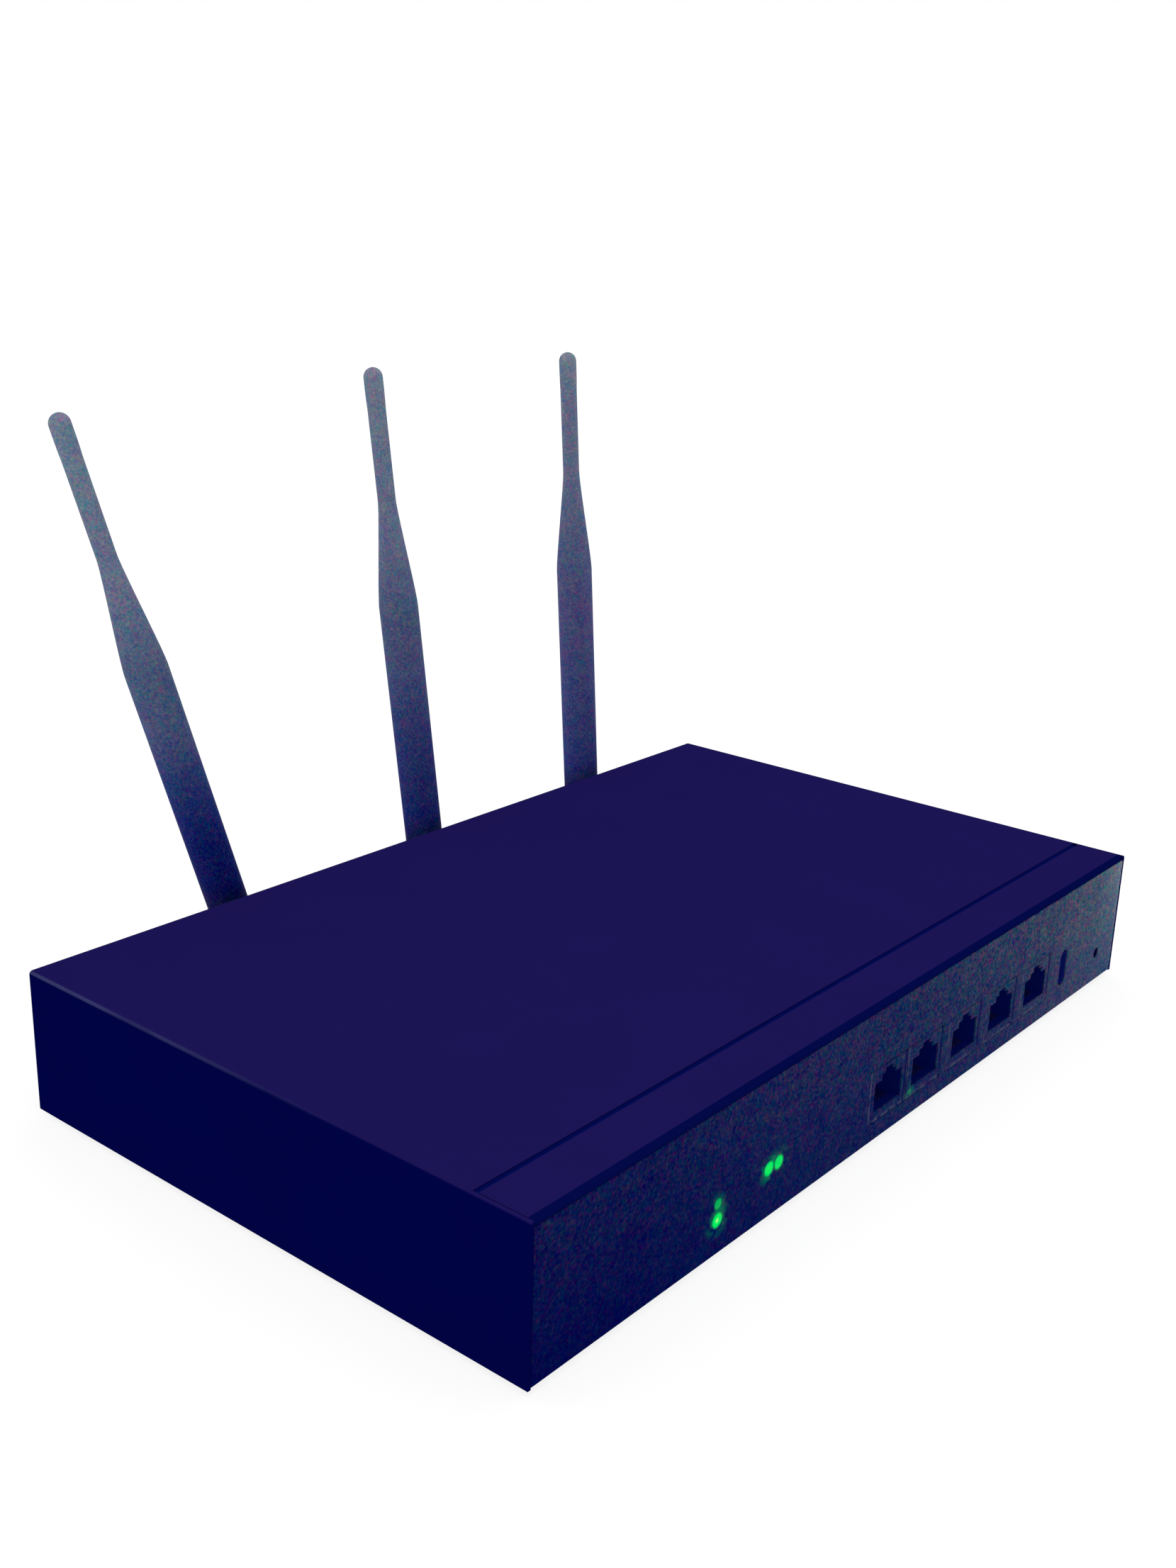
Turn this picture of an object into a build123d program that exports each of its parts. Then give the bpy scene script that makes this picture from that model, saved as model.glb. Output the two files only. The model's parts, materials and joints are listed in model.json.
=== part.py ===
from build123d import *
import os
from math import cos, pi, radians, sin, tan

# Desktop wireless router in a folded steel case, with three swivelling antennas at the back.
# Origin: middle of the footprint, on the plane that the feet stand on.
# +X is to the right seen from the front, +Y to the back, +Z up. All sizes in millimetres.

os.makedirs("parts", exist_ok=True)

# ---------------------------------------------------------------- driving dimensions
case_width = 240.0
case_depth = 146.4
case_height = 33.5
sheet = 0.8  # steel of both halves of the case
sheet_gap = 0.15  # slip fit between the cover and the tray
tray_bend = 1.5  # outer bend radius of the tray
cover_bend = 1.0  # outer bend radius of the cover
foot_height = 1.5
foot_radius = 6.0
foot_inset = 17.0

# seam across the top, behind the folded front strip
seam_front = 12.8
seam_width = 1.3
lip_overlap = 6.0
rear_lip = 8.0
side_flange = 10.0
panel_gap = 0.1  # around what passes through the rear wall
margin = 1.0  # how far a cutting shape reaches past what it cuts

# label film on the front wall
overlay_thickness = 0.3
overlay_top_gap = 1.45
overlay_bottom_gap = 0.4

# main board and how it stands
board_thickness = 1.6
board_top_height = 5.0  # above the case's underside
board_edge_gap = 2.0
board_front_gap = 1.6
standoff_radius = 2.75
standoff_inset = 8.0
standoff_front = 38.0
standoff_back = 14.0
screw_radius = 1.4
screw_clearance = 0.2
screw_head_radius = 2.6
screw_head_height = 1.6

# network jacks: heights are above the board
first_jack_place = 119.3  # from the case's left side
jack_count = 5
jack_rib = 2.6  # steel between two jacks, except that the first two share one opening
jack_width = 16.0
jack_height = 12.9
jack_depth = 21.3
jack_wall = 0.3
jack_gap = 0.2  # around each jack in the front wall
plug_width = 11.7
plug_bottom = 2.4
plug_top = 9.4
latch_width = 6.2
latch_top = 10.8
notch_width = 3.3
notch_top = 11.9
plug_depth = 14.0
contact_count = 8
contact_pitch = 1.02
contact_width = 0.45
contact_thickness = 0.3
contact_rise = 1.5
contact_inset = 2.0  # from the shield's face and from the plug's stop
link_led_width = 2.2
link_led_height = 1.2
link_led_depth = 3.0
link_led_inset = 1.8  # from the jack's side
link_led_lift = 1.3

# upright USB-C socket
usb_spacing = 8.2  # from the last jack's side
usb_lift = 6.1  # above the board
usb_width = 3.26
usb_length = 8.94
usb_depth = 7.4
usb_wall = 0.3
usb_gap = 0.45
usb_setback = 0.1
tongue_thickness = 0.7
tongue_length = 6.7
tongue_block = 1.2  # moulding that closes the shell at its back
usb_leg_places = (4.0, 1.0)  # from the shell's back end

# reset push button behind its hole
reset_spacing = 21.0  # from the USB socket
reset_lift = 3.5  # above the board
reset_hole_radius = 1.5
reset_radius = 1.1
reset_setback = 0.8
reset_travel = 0.5
reset_body = 6.0
reset_running = 0.05
reset_face_setback = 4.0
reset_end_room = 2.4  # length of the button held inside its switch

# status lights
led_place = 55.0  # from the case's left side
led_pitch = 3.5
led_columns = 7
led_lifts = [3.0, 6.7]  # above the board
led_window_radius = 1.0
led_fit = 0.05
guide_setback = 6.0
guide_depth = 4.0
guide_lift = 1.0  # above the board
guide_peg = 1.0
led_chip_size = (1.2, 0.8, 0.7)
led_chip_insets = (1.0, 1.4)  # from the guide's front and back

# antennas: places across the case from its middle, lean towards its left side in degrees
antenna_places = [-49.9, 18.6, 87.4]
antenna_leans = [-17.9, -7.9, -5.0]
antenna_height = 17.0  # of the axis above the case's underside
antenna_length = 139.0  # hinge pin to tip
blade_radius = 5.2
blade_chamfer = 0.6
neck_radius = 2.35
tip_radius = 2.45
blade_shoulder = 75.5  # where the thick part ends
neck_start = 105.0
flare_ease = 4.0  # rounds each end of the cone between them
tip_swell = 12.0
barrel_radius = 3.175
nut_wall = 0.825
thread_chamfer = 0.2
mouth_wall = 0.95  # around the hollow mouth of the barrel
mouth_depth = 3.0
connector_flange = 2.0
connector_tail = 5.0
tail_radius = 1.9
washer_lip = 0.7  # past the nut
washer_thickness = 0.5
nut_thickness = 2.2
coupling_length = 7.0
coupling_wall = 2.0
stem_radius = 2.0
stem_head_radius = 2.8
stem_head = 0.8
running_gap = 0.2
turning_clearance = 0.05
elbow_radius = 5.1
elbow_base = 1.8
ear_radius = 5.0
knuckle_radius = 4.7
knuckle_thickness = 4.2
knuckle_root = 1.0  # length of it inside the blade
pin_radius = 1.0
pin_length = 9.6

# power inlet and rocker switch in the rear wall
inlet_place = 22.0
inlet_width = 9.0
inlet_depth = 14.2
inlet_height = 10.8
inlet_bore_radius = 3.15
inlet_bore_depth = 9.5
inlet_nose_radius = 3.95
inlet_axis_lift = 6.2  # above the board
inlet_pin_radius = 1.0
inlet_pin_setback = 0.8
inlet_pin_seat = 1.8
inlet_pin_root = 0.8  # radius of the pin inside its seat
switch_place = 44.0
switch_height = 14.0
switch_flange = (10.5, 15.0, 1.6)
switch_body = (8.4, 13.4, 11.0)
switch_corner = 1.0
rocker_width = 6.0
rocker_gap = 0.2
rocker_half = 5.0
rocker_rise = 3.0
rocker_dip = 1.9
rocker_pivot_depth = 2.0
rocker_tilt = 10.0
trunnion_radius = 0.9
trunnion_length = 0.8

# chips and other parts on the board, as (x, y) from the case's middle
processor_place = (-22.0, 2.0)
processor_size = 17.0
processor_thickness = 1.4
pad_thickness = 0.8
pad_inset = 1.0  # inside the processor's edge
sink_size = 32.0
sink_base = 2.0
sink_fin = 8.0
sink_fin_count = 8
sink_fin_thickness = 1.2
switch_chip_place = (38.0, -12.0)
switch_chip_size = 14.0
chip_thickness = 1.0
memory_places = [(-48.0, 9.0), (-48.0, -7.0)]
memory_size = (8.0, 12.0)
flash_place = (-62.0, 1.0)
flash_size = (5.2, 5.2)
magnetic_gap = 1.6  # between two neighbours behind touching jacks
magnetic_depth = 7.0
magnetic_height = 5.6
magnetic_setback = 29.0
capacitor_radius = 4.0
capacitor_height = 11.5
capacitor_places = [(22.0, 35.0), (34.0, 35.0), (46.0, 39.0)]  # from the left side and the back
inductor_size = (9.6, 9.6, 4.8)
inductor_places = [(58.0, 35.0), (22.0, 51.0)]  # from the left side and the back
radio_place = (18.0, 48.2)  # from the middle and the back
radio_size = (36.0, 26.0, 3.6)
radio_wall = 0.25
coax_radius = 0.7
coax_lift = 1.5  # above the board at the plugs
socket_places = [(4.0, 30.7), (18.0, 30.7), (32.0, 30.7)]  # from the middle and the back
socket_exits = [(-1, 0), (0, 1), (1, 0)]  # which way each lead leaves its plug
socket_radius = 1.3
socket_height = 0.8
plug_radius = 1.5
plug_height = 1.4

# wall-mount keyholes and vents in the floor
keyhole_spacing = 120.0
keyhole_radius = 3.75
keyhole_slot = 4.0
keyhole_length = 8.0
vent_size = (2.4, 24.0)
vent_pitch = 6.0
vent_count = 6  # in each of four blocks
vent_spacing = (48.0, 64.0)  # between the blocks' middles

# ---------------------------------------------------------------- derived places
left, right = -case_width / 2, case_width / 2
front, back = -case_depth / 2, case_depth / 2
underside = foot_height
top = foot_height + case_height
floor_top = underside + sheet
tray_half = case_width / 2 - sheet - sheet_gap
tray_front = front + overlay_thickness
tray_back = back - sheet - sheet_gap
wall_inside = tray_back - sheet
cover_inside = case_width / 2 - sheet
seam_back = front + seam_front + seam_width
board_top = underside + board_top_height
board_bottom = board_top - board_thickness
board_half = tray_half - sheet - board_edge_gap
board_front = front + board_front_gap
board_back = wall_inside - board_front_gap
led_xs = [left + led_place + led_pitch * i for i in range(led_columns)]
led_positions = [(x, board_top + lift) for x in led_xs for lift in led_lifts]
first_jack = left + first_jack_place
second_jack = first_jack + jack_width + 2 * jack_gap
jack_centres = [first_jack] + [second_jack + i * (jack_width + jack_rib) for i in range(jack_count - 1)]
jack_middle = board_top + jack_height / 2
usb_x, usb_z = jack_centres[-1] + jack_width / 2 + usb_spacing, board_top + usb_lift
reset_x, reset_z = usb_x + reset_spacing, board_top + reset_lift
hex_across = 2 * (barrel_radius + nut_wall)
standoff_places = [
    (x, y)
    for x in (-board_half + standoff_inset, 0.0, board_half - standoff_inset)
    for y in (front + standoff_front, back - standoff_back)
]
rear_screw_places = [left + foot_inset, 0.0, right - foot_inset]
rear_screw_height = top - rear_lip / 2
antenna_axis = underside + antenna_height
front_plane = Plane(origin=(0, front, 0), x_dir=(1, 0, 0), z_dir=(0, -1, 0))  # looks out of the front
rear_plane = Plane(origin=(0, tray_back, 0), x_dir=(1, 0, 0), z_dir=(0, -1, 0))


def save(piece, name):
    """Label a finished piece and write its STEP file."""
    piece.part.label = name
    export_step(piece.part, f"parts/{name}.step")


def stepped_opening():
    """Mouth of a network jack: plug body, latch step and notch, about the jack's own centre line."""
    for width, upper in ((plug_width, plug_top), (latch_width, latch_top), (notch_width, notch_top)):
        height = upper - plug_bottom
        with Locations((0, board_top + plug_bottom + height / 2)):
            Rectangle(width, height)


def bend_radii(points):
    """Radius of the arc at each inner point of a lead's route, as large as its two runs allow."""
    corners = [Vector(*point) for point in points]
    radii = []
    for before, at, after in zip(corners, corners[1:], corners[2:]):
        turn = radians((at - before).get_angle(after - at))
        radii.append(0.45 * min((at - before).length, (after - at).length) / tan(turn / 2))
    return radii


def lean_directions(lean):
    """Directions of a leaning antenna: along its hinge pin and along its blade."""
    angle = radians(lean)
    return (cos(angle), 0, -sin(angle)), (sin(angle), 0, cos(angle))


# ---------------------------------------------------------------- base tray
with BuildPart() as base_tray:
    rear_top = top - sheet - sheet_gap
    with BuildSketch(Plane.YZ) as tray_profile:
        with BuildLine():
            FilletPolyline(
                (tray_back, rear_top),
                (tray_back, underside),
                (tray_front, underside),
                (tray_front, top),
                (front + seam_front, top),
                radius=tray_bend,
            )
            offset(amount=sheet, side=Side.RIGHT)
        make_face()
    extrude(amount=tray_half, both=True)
    # lip welded under the folded strip: the cover's front edge rests on it
    with BuildSketch(Plane.XY.offset(top - sheet)):
        lip_start = front + seam_front - lip_overlap
        lip_end = seam_back + lip_overlap
        with Locations((0, (lip_start + lip_end) / 2)):
            Rectangle(2 * tray_half, lip_end - lip_start)
    extrude(amount=-sheet)
    # short upright flanges along both sides of the floor
    flange_start, flange_end = tray_front + tray_bend, tray_back - tray_bend
    with BuildSketch(Plane.XY.offset(underside)):
        flange_middle = (flange_start + flange_end) / 2
        with Locations(*[(side * (tray_half - sheet / 2), flange_middle) for side in (-1, 1)]):
            Rectangle(sheet, flange_end - flange_start)
    extrude(amount=side_flange)
    # front wall: jacks, USB socket, reset hole and status lights
    with BuildSketch(front_plane):
        with Locations(*[(x, jack_middle) for x in jack_centres]):
            Rectangle(jack_width + 2 * jack_gap, jack_height + 2 * jack_gap)
        with Locations((usb_x, usb_z)):
            SlotOverall(usb_length + 2 * usb_gap, usb_width + 2 * usb_gap, rotation=90)
        with Locations((reset_x, reset_z)):
            Circle(reset_hole_radius)
        with Locations(*led_positions):
            Circle(led_window_radius)
    extrude(amount=-(overlay_thickness + sheet + margin / 4), mode=Mode.SUBTRACT)
    # rear wall: antenna connectors, power inlet, rocker switch and cover screws
    with BuildSketch(rear_plane):
        with Locations(*[(place, antenna_axis) for place in antenna_places]):
            Circle(barrel_radius + turning_clearance)
        with Locations((left + inlet_place, board_top + inlet_axis_lift)):
            Circle(inlet_nose_radius + panel_gap)
        with Locations((left + switch_place, underside + switch_height)):
            Rectangle(switch_body[0] + 2 * panel_gap, switch_body[1] + 2 * panel_gap)
        with Locations(*[(x, rear_screw_height) for x in rear_screw_places]):
            Circle(screw_radius)
    extrude(amount=sheet, mode=Mode.SUBTRACT)
    # floor: keyholes for wall screws and four blocks of vents
    with BuildSketch(Plane.XY.offset(underside)):
        with GridLocations(keyhole_spacing, 0, 2, 1):
            Circle(keyhole_radius)
        with Locations(*[(side * keyhole_spacing / 2, keyhole_length / 2) for side in (-1, 1)]):
            SlotOverall(keyhole_length + keyhole_slot, keyhole_slot, rotation=90)
        with GridLocations(*vent_spacing, 2, 2):
            with GridLocations(vent_pitch, 0, vent_count, 1):
                SlotOverall(vent_size[1], vent_size[0], rotation=90)
    extrude(amount=sheet, mode=Mode.SUBTRACT)
save(base_tray, "base_tray")

# ---------------------------------------------------------------- top cover
with BuildPart() as top_cover:
    with BuildSketch(Plane.XY.offset(underside)):
        Rectangle(case_width, case_depth)
    extrude(amount=case_height)
    fillet(top_cover.faces().sort_by(Axis.Z)[-1].edges().filter_by(Axis.Y), cover_bend)
    fillet(top_cover.edges().filter_by(Axis.X).group_by(Axis.Z)[-1].sort_by(Axis.Y)[-1], cover_bend)
    # hollow: open underneath and in front
    with BuildSketch(Plane.XY.offset(underside)):
        with Locations((0, -sheet)):
            Rectangle(2 * cover_inside, case_depth)
    extrude(amount=case_height - sheet, mode=Mode.SUBTRACT)
    # the front strip belongs to the tray
    with BuildSketch(Plane.XY.offset(top)):
        with Locations((0, (front + seam_back) / 2)):
            Rectangle(2 * cover_inside, seam_back - front)
    extrude(amount=-sheet, mode=Mode.SUBTRACT)
    # only a short lip hangs down at the back
    with BuildSketch(Plane.XZ.offset(-back)):
        with Locations((0, (underside + top - rear_lip) / 2)):
            Rectangle(2 * cover_inside, case_height - rear_lip)
    extrude(amount=sheet, mode=Mode.SUBTRACT)
    with BuildSketch(Plane.XZ.offset(-back)):
        with Locations(*[(x, rear_screw_height) for x in rear_screw_places]):
            Circle(screw_radius + screw_clearance)
    extrude(amount=sheet, mode=Mode.SUBTRACT)
save(top_cover, "top_cover")

# ---------------------------------------------------------------- label film
with BuildPart() as front_overlay:
    with BuildSketch(front_plane):
        film_low, film_high = underside + overlay_bottom_gap, top - overlay_top_gap
        with Locations((0, (film_low + film_high) / 2)):
            Rectangle(2 * tray_half, film_high - film_low)
        with Locations(*[(x, jack_middle) for x in jack_centres]):
            Rectangle(jack_width + 2 * jack_gap, jack_height + 2 * jack_gap, mode=Mode.SUBTRACT)
        with Locations((usb_x, usb_z)):
            SlotOverall(usb_length + 2 * usb_gap, usb_width + 2 * usb_gap, rotation=90, mode=Mode.SUBTRACT)
        with Locations((reset_x, reset_z)):
            Circle(reset_hole_radius, mode=Mode.SUBTRACT)
        with Locations(*led_positions):
            Circle(led_window_radius, mode=Mode.SUBTRACT)
    extrude(amount=-overlay_thickness)
save(front_overlay, "front_overlay")

# ---------------------------------------------------------------- feet and screws
with BuildPart() as rubber_feet:
    with BuildSketch():
        with GridLocations(case_width - 2 * foot_inset, case_depth - 2 * foot_inset, 2, 2):
            Circle(foot_radius)
    extrude(amount=foot_height)
    fillet(rubber_feet.edges().group_by(Axis.Z)[0], foot_height / 4)
save(rubber_feet, "rubber_feet")

with BuildPart() as cover_screws:
    for x in rear_screw_places:
        with BuildSketch(Plane(origin=(x, back, rear_screw_height), z_dir=(0, 1, 0))):
            Circle(screw_head_radius)
        extrude(amount=screw_head_height)
        with BuildSketch(Plane(origin=(x, back, rear_screw_height), z_dir=(0, 1, 0))):
            Circle(screw_radius)
        extrude(amount=-(sheet_gap + 2 * sheet + 2 * screw_radius))
        # cross recess
        with BuildSketch(Plane(origin=(x, back + screw_head_height, rear_screw_height), z_dir=(0, 1, 0))):
            Rectangle(2 * screw_radius, screw_radius / 2)
            Rectangle(screw_radius / 2, 2 * screw_radius)
        extrude(amount=-screw_head_height / 2, mode=Mode.SUBTRACT)
    fillet(cover_screws.faces().sort_by(Axis.Y)[-3:].edges().filter_by(GeomType.CIRCLE), screw_head_height / 4)
save(cover_screws, "cover_screws")

with BuildPart() as board_standoffs:
    with BuildSketch(Plane.XY.offset(floor_top)):
        with Locations(*standoff_places):
            Circle(standoff_radius)
            Circle(screw_radius, mode=Mode.SUBTRACT)
    extrude(amount=board_bottom - floor_top)
save(board_standoffs, "board_standoffs")

with BuildPart() as board_screws:
    with BuildSketch(Plane.XY.offset(floor_top)):
        with Locations(*standoff_places):
            Circle(screw_radius)
    extrude(amount=board_top - floor_top)
    with BuildSketch(Plane.XY.offset(board_top)):
        with Locations(*standoff_places):
            Circle(screw_head_radius)
    extrude(amount=screw_head_height)
save(board_screws, "board_screws")

# ---------------------------------------------------------------- main board
with BuildPart() as main_board:
    with BuildSketch(Plane.XY.offset(board_bottom)):
        with Locations((0, (board_front + board_back) / 2)):
            Rectangle(2 * board_half, board_back - board_front)
        with Locations(*standoff_places):
            Circle(screw_radius + screw_clearance, mode=Mode.SUBTRACT)
    extrude(amount=board_thickness)
save(main_board, "main_board")

# ---------------------------------------------------------------- network jacks
jack_back = front + jack_depth
link_led_offset = jack_width / 2 - link_led_inset
link_led_middle = board_top + link_led_lift
for number, x in enumerate(jack_centres, start=1):
    jack_plane = Plane(origin=(x, front, 0), x_dir=(1, 0, 0), z_dir=(0, -1, 0))
    led_corners = [(side * link_led_offset, link_led_middle) for side in (-1, 1)]

    with BuildPart() as jack_shield:
        with BuildSketch(Plane.XY.offset(board_top)):
            with Locations((x, (front + jack_back) / 2)):
                Rectangle(jack_width, jack_depth)
        extrude(amount=jack_height)
        with BuildSketch(Plane.XY.offset(board_top)):
            with Locations((x, (front + jack_back) / 2)):
                Rectangle(jack_width - 2 * jack_wall, jack_depth - 2 * jack_wall)
        extrude(amount=jack_height - jack_wall, mode=Mode.SUBTRACT)
        with BuildSketch(jack_plane):
            stepped_opening()
            with Locations(*led_corners):
                Rectangle(link_led_width, link_led_height)
        extrude(amount=-jack_wall, mode=Mode.SUBTRACT)
    save(jack_shield, f"jack_shield_{number}")

    with BuildPart() as jack_insert:
        insert_front = front + jack_wall + led_fit
        insert_back = jack_back - jack_wall - led_fit
        with BuildSketch(Plane.XY.offset(board_top)):
            with Locations((x, (insert_front + insert_back) / 2)):
                Rectangle(jack_width - 2 * jack_wall - 2 * led_fit, insert_back - insert_front)
        extrude(amount=jack_height - jack_wall - led_fit)
        with BuildSketch(jack_plane):
            stepped_opening()
        extrude(amount=-plug_depth, mode=Mode.SUBTRACT)
        with BuildSketch(jack_plane):
            with Locations(*led_corners):
                Rectangle(link_led_width, link_led_height)
        extrude(amount=-link_led_depth, mode=Mode.SUBTRACT)
    save(jack_insert, f"jack_insert_{number}")

with BuildPart() as jack_contacts:
    contact_front = front + jack_wall + contact_inset
    contact_back = front + plug_depth - contact_inset
    contact_floor = board_top + plug_bottom
    for x in jack_centres:
        for wire in range(contact_count):
            wire_x = x + (wire - (contact_count - 1) / 2) * contact_pitch
            with BuildSketch(Plane.YZ.offset(wire_x)):
                with BuildLine():
                    Polyline(
                        (contact_front, contact_floor),
                        (contact_front, contact_floor + contact_thickness),
                        (contact_back, contact_floor + contact_thickness + contact_rise),
                        (contact_back, contact_floor + contact_rise),
                        (contact_front + 2 * contact_thickness, contact_floor),
                        close=True,
                    )
                make_face()
            extrude(amount=contact_width / 2, both=True)
save(jack_contacts, "jack_contacts")

with BuildPart() as jack_link_leds:
    with BuildSketch(front_plane):
        for x in jack_centres:
            with Locations(*[(x + side * link_led_offset, link_led_middle) for side in (-1, 1)]):
                Rectangle(link_led_width - 2 * led_fit, link_led_height - 2 * led_fit)
    extrude(amount=-link_led_depth)
save(jack_link_leds, "jack_link_leds")

# ---------------------------------------------------------------- USB socket
usb_front = front + usb_setback
usb_plane = Plane(origin=(usb_x, usb_front, usb_z), x_dir=(1, 0, 0), z_dir=(0, -1, 0))
with BuildPart() as usb_shell:
    with BuildSketch(usb_plane):
        SlotOverall(usb_length, usb_width, rotation=90)
        SlotOverall(usb_length - 2 * usb_wall, usb_width - 2 * usb_wall, rotation=90, mode=Mode.SUBTRACT)
    extrude(amount=-usb_depth)
    # two legs down to the board
    leg_top = usb_z - usb_length / 2 + usb_wall / 2
    with BuildSketch(Plane.XY.offset(board_top)):
        with Locations(*[(usb_x, front + y) for y in [usb_depth - place for place in usb_leg_places]]):
            Rectangle(usb_width / 2, usb_wall * 3)
    extrude(amount=leg_top - board_top)
save(usb_shell, "usb_shell")

with BuildPart() as usb_tongue:
    with BuildSketch(usb_plane.offset(-usb_depth)):
        SlotOverall(usb_length - 2 * usb_wall, usb_width - 2 * usb_wall, rotation=90)
    extrude(amount=tongue_block)
    with BuildSketch(usb_plane.offset(-usb_depth)):
        Rectangle(tongue_thickness, tongue_length)
    extrude(amount=usb_depth - tongue_block)
save(usb_tongue, "usb_tongue")

# ---------------------------------------------------------------- status lights
guide_front, guide_back = front + guide_setback, front + guide_setback + guide_depth
guide_width = led_pitch * led_columns
guide_middle = (led_xs[0] + led_xs[-1]) / 2
guide_top = board_top + led_lifts[-1] + 2 * led_window_radius
guide_low = board_top + guide_lift
with BuildPart() as light_guide:
    with BuildSketch(Plane.XY.offset(guide_low)):
        with Locations((guide_middle, (guide_front + guide_back) / 2)):
            Rectangle(guide_width, guide_back - guide_front)
    extrude(amount=guide_top - guide_low)
    fillet(light_guide.edges().filter_by(Axis.X).group_by(Axis.Z)[-1].sort_by(Axis.Y)[-1], led_pitch / 2)
    with BuildSketch(front_plane):
        with Locations(*led_positions):
            Circle(led_window_radius - led_fit)
    extrude(amount=-(guide_front - front + led_fit))
    # pegs that carry it on the board, clear of the light chips
    with BuildSketch(Plane.XY.offset(board_top)):
        peg_offset = (guide_width - guide_peg) / 2
        with Locations(*[(guide_middle + side * peg_offset, guide_back - guide_peg / 2) for side in (-1, 1)]):
            Rectangle(guide_peg, guide_peg)
    extrude(amount=guide_low - board_top)
save(light_guide, "light_guide")

with BuildPart() as status_leds:
    with BuildSketch(Plane.XY.offset(board_top)):
        chip_rows = (guide_front + led_chip_insets[0], guide_back - led_chip_insets[1])
        with Locations(*[(x, y) for x in led_xs for y in chip_rows]):
            Rectangle(led_chip_size[0], led_chip_size[1])
    extrude(amount=led_chip_size[2])
save(status_leds, "status_leds")

# ---------------------------------------------------------------- reset button
reset_tip = front + reset_setback
reset_face = front + reset_face_setback
reset_plane = Plane(origin=(reset_x, reset_face, reset_z), x_dir=(1, 0, 0), z_dir=(0, -1, 0))
with BuildPart() as reset_switch:
    with BuildSketch(Plane.XY.offset(board_top)):
        with Locations((reset_x, reset_face + reset_body / 2)):
            Rectangle(reset_body, reset_body)
    extrude(amount=2 * (reset_z - board_top))
    with BuildSketch(reset_plane):
        Circle(reset_radius + reset_running)
    extrude(amount=-(reset_end_room + reset_travel + running_gap), mode=Mode.SUBTRACT)
save(reset_switch, "reset_switch")

with BuildPart() as reset_button:
    with BuildSketch(reset_plane.offset(-reset_end_room)):
        Circle(reset_radius)
    extrude(amount=reset_end_room + reset_face - reset_tip)
    fillet(reset_button.edges().sort_by(Axis.Y)[0], reset_radius / 4)
save(reset_button, "reset_button")

# ---------------------------------------------------------------- chips, heat sink and power parts
chip_level = Plane.XY.offset(board_top)
with BuildPart() as processor:
    with BuildSketch(chip_level):
        with Locations(processor_place):
            Rectangle(processor_size, processor_size)
    extrude(amount=processor_thickness)
    chamfer(processor.edges().group_by(Axis.Z)[-1], processor_thickness / 6)
save(processor, "processor")

pad_level = board_top + processor_thickness
with BuildPart() as thermal_pad:
    with BuildSketch(Plane.XY.offset(pad_level)):
        with Locations(processor_place):
            Rectangle(processor_size - 2 * pad_inset, processor_size - 2 * pad_inset)
    extrude(amount=pad_thickness)
save(thermal_pad, "thermal_pad")

with BuildPart() as heat_sink:
    sink_level = pad_level + pad_thickness
    with BuildSketch(Plane.XY.offset(sink_level)):
        with Locations(processor_place):
            Rectangle(sink_size, sink_size)
    extrude(amount=sink_base)
    fin_pitch = (sink_size - sink_fin_thickness) / (sink_fin_count - 1)
    with BuildSketch(Plane.XY.offset(sink_level + sink_base)):
        with Locations(processor_place):
            with GridLocations(fin_pitch, 0, sink_fin_count, 1):
                Rectangle(sink_fin_thickness, sink_size)
    extrude(amount=sink_fin)
save(heat_sink, "heat_sink")

with BuildPart() as switch_chip:
    with BuildSketch(chip_level):
        with Locations(switch_chip_place):
            Rectangle(switch_chip_size, switch_chip_size)
    extrude(amount=chip_thickness)
    chamfer(switch_chip.edges().group_by(Axis.Z)[-1], chip_thickness / 6)
save(switch_chip, "switch_chip")

with BuildPart() as memory_chips:
    with BuildSketch(chip_level):
        with Locations(*memory_places):
            Rectangle(*memory_size)
    extrude(amount=chip_thickness)
save(memory_chips, "memory_chips")

with BuildPart() as flash_chip:
    with BuildSketch(chip_level):
        with Locations(flash_place):
            Rectangle(*flash_size)
    extrude(amount=2 * chip_thickness)
save(flash_chip, "flash_chip")

with BuildPart() as magnetics:
    with BuildSketch(chip_level):
        with Locations(*[(x, front + magnetic_setback) for x in jack_centres]):
            Rectangle(jack_width - magnetic_gap, magnetic_depth)
    extrude(amount=magnetic_height)
    chamfer(magnetics.edges().group_by(Axis.Z)[-1], magnetic_height / 12)
save(magnetics, "magnetics")

with BuildPart() as capacitors:
    with BuildSketch(chip_level):
        with Locations(*[(left + x, back - y) for x, y in capacitor_places]):
            Circle(capacitor_radius)
    extrude(amount=capacitor_height)
    fillet(capacitors.edges().group_by(Axis.Z)[-1], capacitor_radius / 8)
save(capacitors, "capacitors")

with BuildPart() as inductors:
    with BuildSketch(chip_level):
        with Locations(*[(left + x, back - y) for x, y in inductor_places]):
            RectangleRounded(inductor_size[0], inductor_size[1], inductor_size[0] / 5)
    extrude(amount=inductor_size[2])
save(inductors, "inductors")

with BuildPart() as radio_shield:
    with BuildSketch(chip_level):
        with Locations((radio_place[0], back - radio_place[1])):
            Rectangle(radio_size[0], radio_size[1])
    extrude(amount=radio_size[2])
    with BuildSketch(chip_level):
        with Locations((radio_place[0], back - radio_place[1])):
            Rectangle(radio_size[0] - 2 * radio_wall, radio_size[1] - 2 * radio_wall)
    extrude(amount=radio_size[2] - radio_wall, mode=Mode.SUBTRACT)
save(radio_shield, "radio_shield")

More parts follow.
